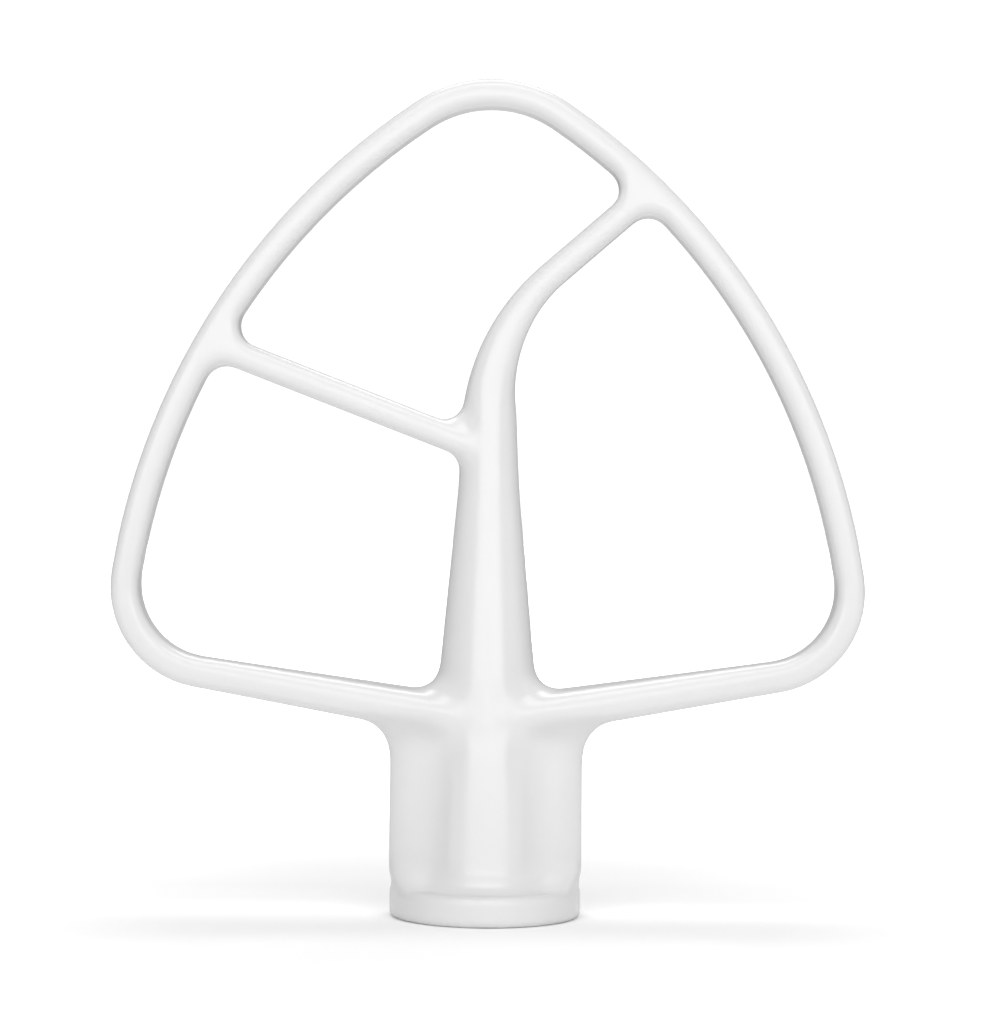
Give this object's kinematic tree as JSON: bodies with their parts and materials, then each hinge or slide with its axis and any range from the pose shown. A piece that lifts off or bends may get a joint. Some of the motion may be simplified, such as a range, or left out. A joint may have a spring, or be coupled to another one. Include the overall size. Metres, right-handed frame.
{
  "type": "stand mixer flat beater",
  "caption": "Cast mixing paddle: a pear-shaped open loop with a tapered stem and slanted branches, on a round hub with a blind shaft bore and a bayonet slot.",
  "frame": {"origin": "middle of the hub's mouth, on the shaft's axis", "axes": "+Z from the hub's mouth along the drive shaft's axis to the top of the loop, X across the flat loop with the plain stem side to +X, -Y is the front face and the bayonet slot is at +Y"},
  "size_m": [0.135, 0.0341, 0.15],
  "materials": {
    "white_coat": "semi-gloss white nylon powder coat over die-cast aluminium"
  },
  "bodies": {
    "root": {"flat_beater": "white_coat"}
  },
  "joints": []
}
